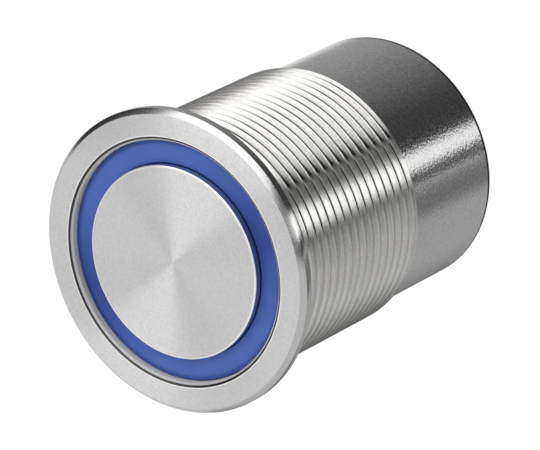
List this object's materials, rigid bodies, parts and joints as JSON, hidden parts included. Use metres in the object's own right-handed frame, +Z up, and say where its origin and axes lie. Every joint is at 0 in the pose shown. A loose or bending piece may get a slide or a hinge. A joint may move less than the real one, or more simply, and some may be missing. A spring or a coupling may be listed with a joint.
{
  "type": "illuminated piezo switch",
  "caption": "Round stainless steel panel pushbutton with a flat piezo front, a blue light ring, a threaded body and solder terminals at the rear.",
  "frame": {"origin": "centre of the flange's rear face, which lies on the front of the panel", "axes": "+Y along the axis from the front face to the terminals, +Z up, front face looking along -Y"},
  "size_m": [0.025, 0.035, 0.025],
  "materials": {
    "turned_steel": "fine turned",
    "blue_ring": "matte translucent",
    "seal_rubber": "matte",
    "plate_brass": "plated",
    "silvered_ceramic": "silvered",
    "natural_plastic": "moulded",
    "green_board": "solder mask",
    "lamp_lens": "clear cast",
    "tinned_brass": "tin plated",
    "black_plastic": "moulded",
    "tan_ceramic": "fired",
    "black_ceramic": "glazed",
    "amber_film": "rolled film",
    "black_resin": "cast"
  },
  "bodies": {
    "root": {"housing": "turned_steel", "light_ring": "blue_ring", "ring_gasket": "seal_rubber", "actuator": "turned_steel", "actuator_seal": "seal_rubber", "piezo_plate": "plate_brass", "piezo_ceramic": "silvered_ceramic", "contact_carrier": "natural_plastic", "spring_contacts": "plate_brass", "board_spacer": "natural_plastic", "front_board": "green_board", "ring_lamps": "lamp_lens", "main_board": "green_board", "link_pins": "tinned_brass", "transistors": "black_plastic", "rectifier": "black_plastic", "surge_diode": "black_plastic", "capacitor": "tan_ceramic", "resistors": "black_ceramic", "insulating_liner": "amber_film", "terminal_base": "black_plastic", "potting_resin": "black_resin", "switch_terminals": "tinned_brass", "lamp_terminals": "tinned_brass"}
  },
  "joints": []
}
